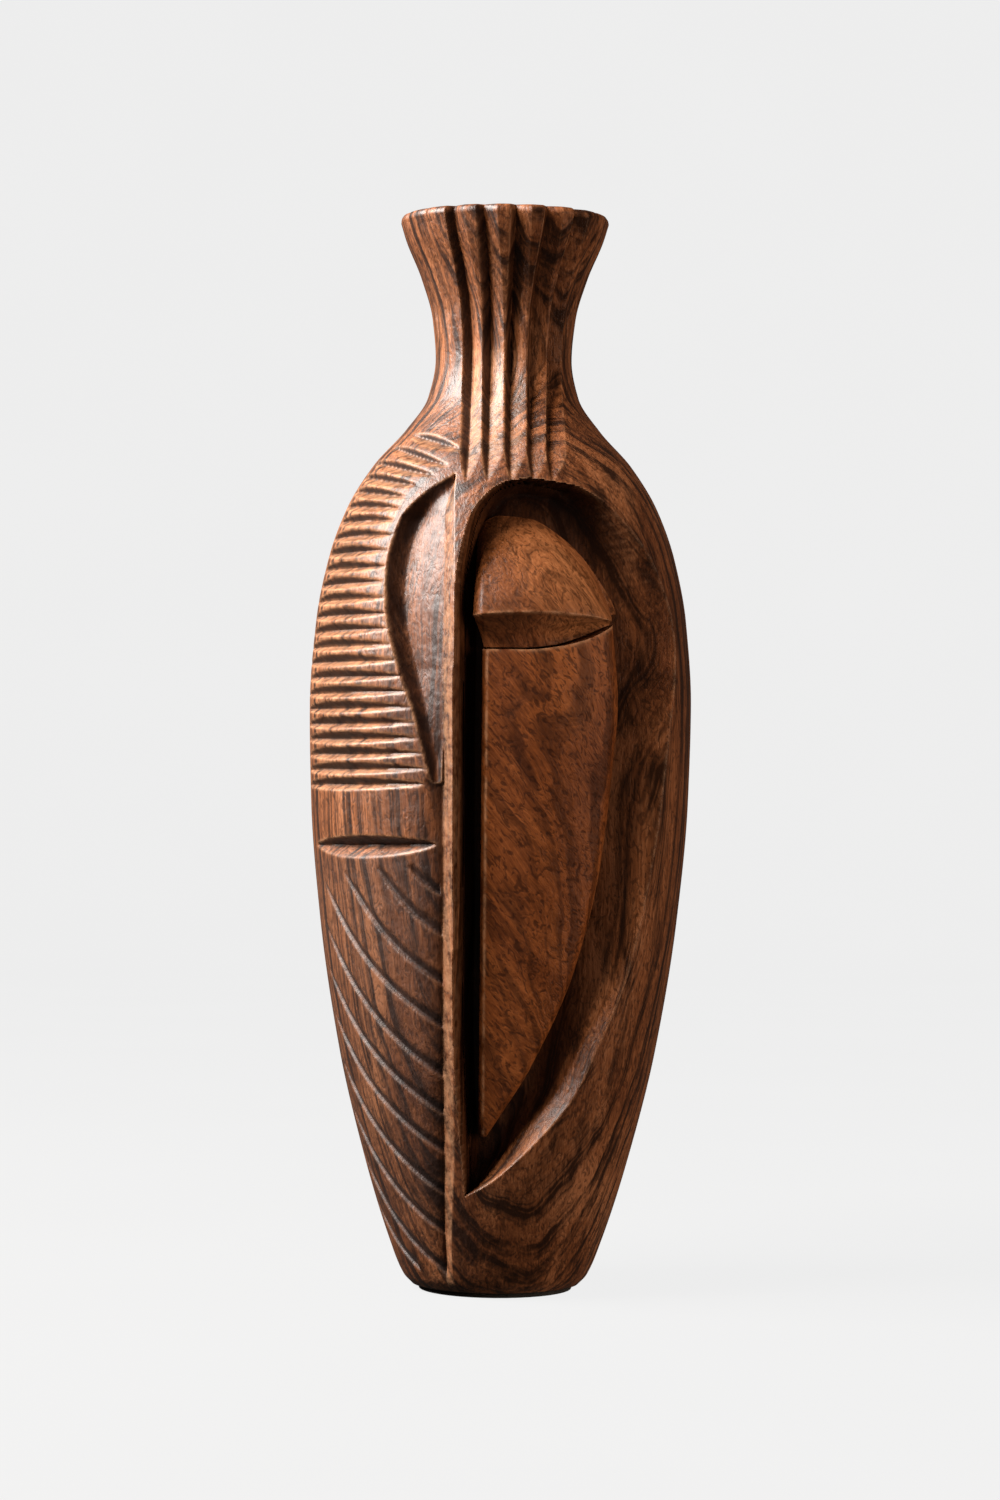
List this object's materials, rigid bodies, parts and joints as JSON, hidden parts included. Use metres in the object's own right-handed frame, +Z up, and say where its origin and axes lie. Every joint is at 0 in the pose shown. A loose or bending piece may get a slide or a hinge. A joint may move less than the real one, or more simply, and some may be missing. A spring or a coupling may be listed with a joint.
{
  "type": "carved wooden mask vase",
  "caption": "Tall carved wooden vase with a fluted neck, an abstract mask in relief that is half open and half ribbed, and a lift-out water liner.",
  "frame": {"origin": "middle of the felt's underside, on the axis the vase is turned on", "axes": "+Z up along the turning axis; the mask looks along -Y; +X is on the right of someone facing the mask"},
  "size_m": [0.1602, 0.1578, 0.45],
  "materials": {
    "body_wood": "oiled and waxed, satin, with worn pale edges",
    "brow_wood": "burl figure, oiled and waxed, satin",
    "cheek_wood": "diagonal figure, oiled and waxed, satin",
    "dowel_wood": "raw turned hardwood",
    "plug_wood": "sanded, unpolished",
    "felt": "pressed wool felt",
    "zinc": "dull zinc sheet"
  },
  "bodies": {
    "vessel": {"carved_body": "body_wood", "brow_block": "brow_wood", "cheek_block": "cheek_wood", "brow_dowel_upper": "dowel_wood", "brow_dowel_lower": "dowel_wood", "cheek_dowel_upper": "dowel_wood", "cheek_dowel_lower": "dowel_wood", "foot_plug": "plug_wood", "felt_disc": "felt"},
    "liner": {"water_liner": "zinc"}
  },
  "joints": [
    {"name": "liner_lift", "type": "slide", "parent": "vessel", "child": "liner", "axis": [0, 0, 1], "range_m": [0, 0.34]}
  ]
}
